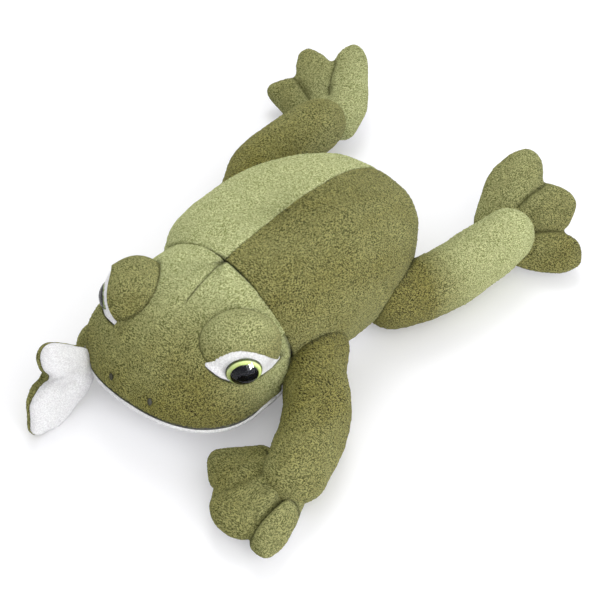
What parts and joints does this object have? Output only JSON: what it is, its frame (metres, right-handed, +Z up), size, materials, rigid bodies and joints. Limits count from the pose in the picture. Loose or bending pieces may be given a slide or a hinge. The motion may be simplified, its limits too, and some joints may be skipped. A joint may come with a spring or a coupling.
{
  "type": "frog hand puppet",
  "caption": "Plush frog hand puppet lying on its belly, with raised eyes, a mouth that opens, jointed limbs with lobed hands and feet, and a hand opening in the belly.",
  "frame": {"origin": "on the floor under the chest, on the flat of the belly panel in front of the hand opening", "axes": "+Z up, -Y towards the nose, +X to the frog's own left"},
  "size_m": [0.2604, 0.3555, 0.074],
  "materials": {
    "green_plush": "short-pile velour plush, mid olive green",
    "white_plush": "short-pile velour plush, white",
    "filling": "soft polyester fibre filling",
    "lining_cloth": "plain woven lining, matte",
    "mouth_cloth": "smooth dark cloth, matte",
    "stiffener": "plain flexible sheet",
    "iris_plastic": "moulded, yellow-green",
    "black_plastic": "polished black",
    "clear_plastic": "clear and polished",
    "washer_plastic": "moulded, natural white",
    "dark_thread": "embroidery thread"
  },
  "bodies": {
    "trunk": {"back_cover_left": "green_plush", "back_cover_right": "green_plush", "belly_cover": "white_plush", "body_stuffing": "filling", "glove_lining": "lining_cloth", "opening_hem": "lining_cloth"},
    "head": {"head_cover": "green_plush", "head_stuffing": "filling", "palate_lining": "mouth_cloth", "palate_board": "stiffener", "throat_panel": "white_plush", "eye_mound_left": "green_plush", "eye_mound_right": "green_plush", "eye_white_left": "white_plush", "eye_white_right": "white_plush", "iris_left": "iris_plastic", "iris_right": "iris_plastic", "pupil_left": "black_plastic", "pupil_right": "black_plastic", "cornea_left": "clear_plastic", "cornea_right": "clear_plastic", "eye_washer_left": "washer_plastic", "eye_washer_right": "washer_plastic", "nostril_left": "dark_thread", "nostril_right": "dark_thread"},
    "jaw": {"chin_cover": "white_plush", "chin_stuffing": "filling", "mouth_floor": "mouth_cloth", "jaw_board": "stiffener"},
    "arm_left": {"arm_cover_left": "green_plush", "arm_stuffing_left": "filling"},
    "hand_left": {"hand_cover_left": "green_plush", "palm_cover_left": "white_plush", "hand_stuffing_left": "filling"},
    "leg_left": {"leg_cover_left": "green_plush", "leg_stuffing_left": "filling"},
    "foot_left": {"foot_cover_left": "green_plush", "sole_cover_left": "white_plush", "foot_stuffing_left": "filling"},
    "arm_right": {"arm_cover_right": "green_plush", "arm_stuffing_right": "filling"},
    "hand_right": {"hand_cover_right": "green_plush", "palm_cover_right": "white_plush", "hand_stuffing_right": "filling"},
    "leg_right": {"leg_cover_right": "green_plush", "leg_stuffing_right": "filling"},
    "foot_right": {"foot_cover_right": "green_plush", "sole_cover_right": "white_plush", "foot_stuffing_right": "filling"}
  },
  "joints": [
    {"name": "neck_nod", "type": "hinge", "parent": "trunk", "child": "head", "pos_m": [0, -0.066, 0.036], "axis": [1, 0, 0], "range_deg": [-15, 0]},
    {"name": "jaw_open", "type": "hinge", "parent": "head", "child": "jaw", "pos_m": [0, -0.06, 0.02], "axis": [1, 0, 0], "range_deg": [0, 32]},
    {"name": "shoulder_left", "type": "hinge", "parent": "trunk", "child": "arm_left", "pos_m": [0.05, -0.02, 0.026], "axis": [0, 1, 0], "range_deg": [-40, 5]},
    {"name": "shoulder_right", "type": "hinge", "parent": "trunk", "child": "arm_right", "pos_m": [-0.05, -0.02, 0.026], "axis": [0, 1, 0], "range_deg": [0, 35]},
    {"name": "hip_left", "type": "hinge", "parent": "trunk", "child": "leg_left", "pos_m": [0.05, 0.036, 0.02], "axis": [0, 1, 0], "range_deg": [-35, 15]},
    {"name": "hip_right", "type": "hinge", "parent": "trunk", "child": "leg_right", "pos_m": [-0.05, 0.036, 0.02], "axis": [0, 1, 0], "range_deg": [-15, 35]},
    {"name": "wrist_left", "type": "hinge", "parent": "arm_left", "child": "hand_left", "pos_m": [0.09598, -0.09659, 0.014], "axis": [0.9578, 0.2873, 0], "range_deg": [-12, 15]},
    {"name": "ankle_left", "type": "hinge", "parent": "leg_left", "child": "foot_left", "pos_m": [0.07315, 0.12312, 0.024], "axis": [-0.9912, 0.1322, 0], "range_deg": [-12, 15]},
    {"name": "wrist_right", "type": "hinge", "parent": "arm_right", "child": "hand_right", "pos_m": [-0.05717, -0.0888, 0.013], "axis": [0.9426, 0.3338, 0], "range_deg": [-12, 15]},
    {"name": "ankle_right", "type": "hinge", "parent": "leg_right", "child": "foot_right", "pos_m": [-0.07674, 0.13211, 0.024], "axis": [-0.9923, 0.124, 0], "range_deg": [-12, 15]}
  ]
}
